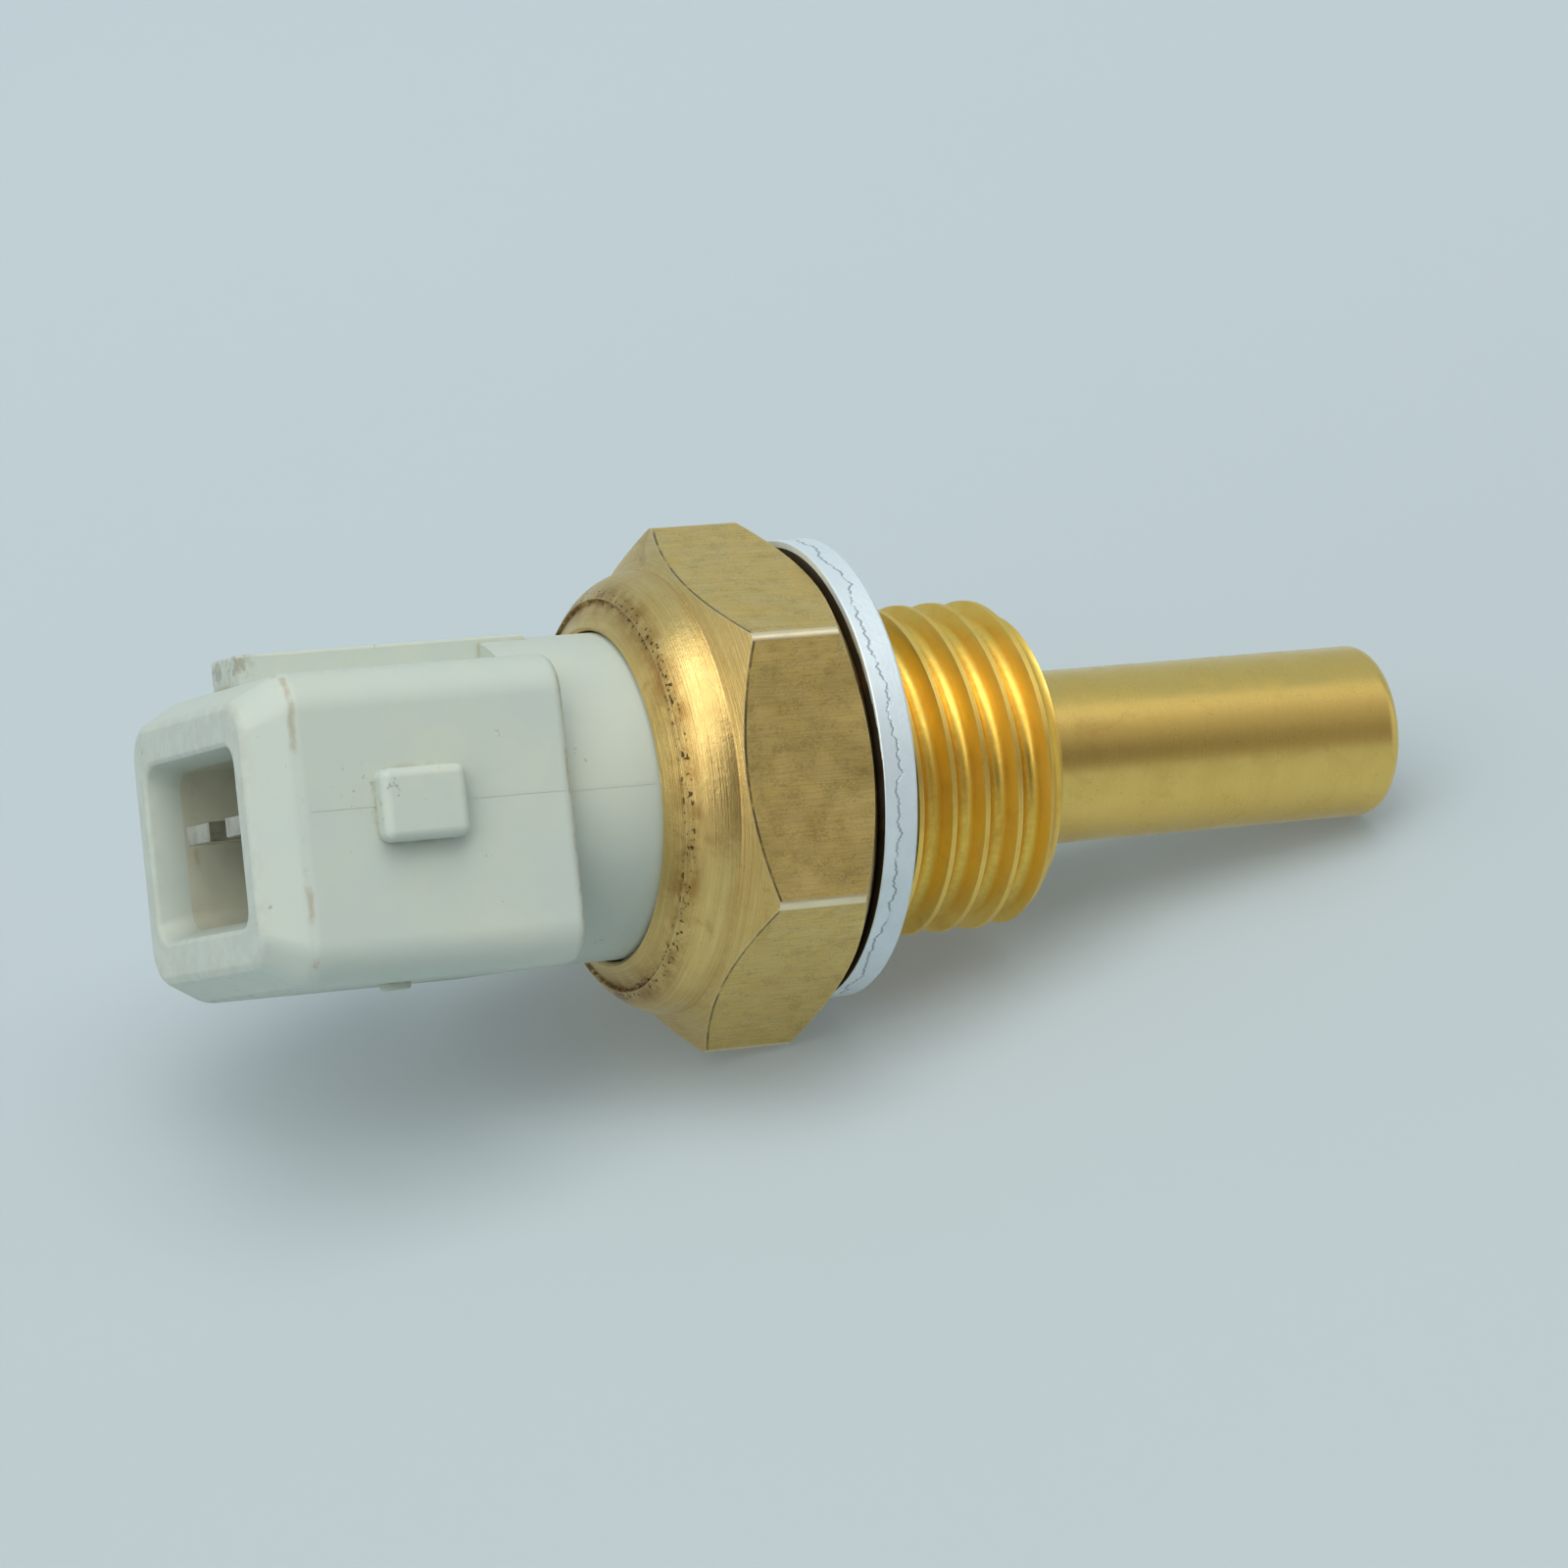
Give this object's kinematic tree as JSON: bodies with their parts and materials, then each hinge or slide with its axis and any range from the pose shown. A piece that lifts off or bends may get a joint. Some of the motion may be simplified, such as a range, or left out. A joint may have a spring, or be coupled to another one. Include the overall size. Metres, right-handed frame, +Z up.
{
  "type": "water temperature sensor",
  "caption": "Screw-in water temperature sensor with a hexagonal brass body, a slim probe, a sealing washer and a moulded two-pin plug socket.",
  "frame": {"origin": "on the surface that the sensor lies on, under the middle of its box", "axes": "+X from the plug socket towards the probe's tip, +Z up; the sensor lies on one flat of its hexagon, its washer and the tip of its probe, so its own axis runs along +X and dips by 12.2 degrees"},
  "size_m": [0.0546, 0.022, 0.0225],
  "materials": {
    "brass": "turned and drawn brass, satin, a little stained and worn bright on its edges",
    "washer_metal": "plain stamped washer, satin, with a sheared rim",
    "housing_plastic": "moulded off-white plastic, matte, with brown stains in its corners",
    "tinned_brass": "tinned strip, satin",
    "seal_rubber": "smooth black rubber",
    "lead_metal": "tinned wire",
    "solder": "dull solder",
    "sleeve_plastic": "thin red-brown sleeve",
    "liner_plastic": "thin insulating tube",
    "bead_glass": "dark glass bead",
    "paste": "white heat-conducting paste"
  },
  "bodies": {
    "root": {"brass_body": "brass", "sealing_washer": "washer_metal", "connector_housing": "housing_plastic", "terminal_near": "tinned_brass", "terminal_far": "tinned_brass", "o_ring": "seal_rubber", "lead_wire_near": "lead_metal", "lead_wire_far": "lead_metal", "solder_joint_near": "solder", "solder_joint_far": "solder", "sleeve_near": "sleeve_plastic", "sleeve_far": "sleeve_plastic", "liner_tube": "liner_plastic", "thermistor": "bead_glass", "heat_paste": "paste"}
  },
  "joints": []
}
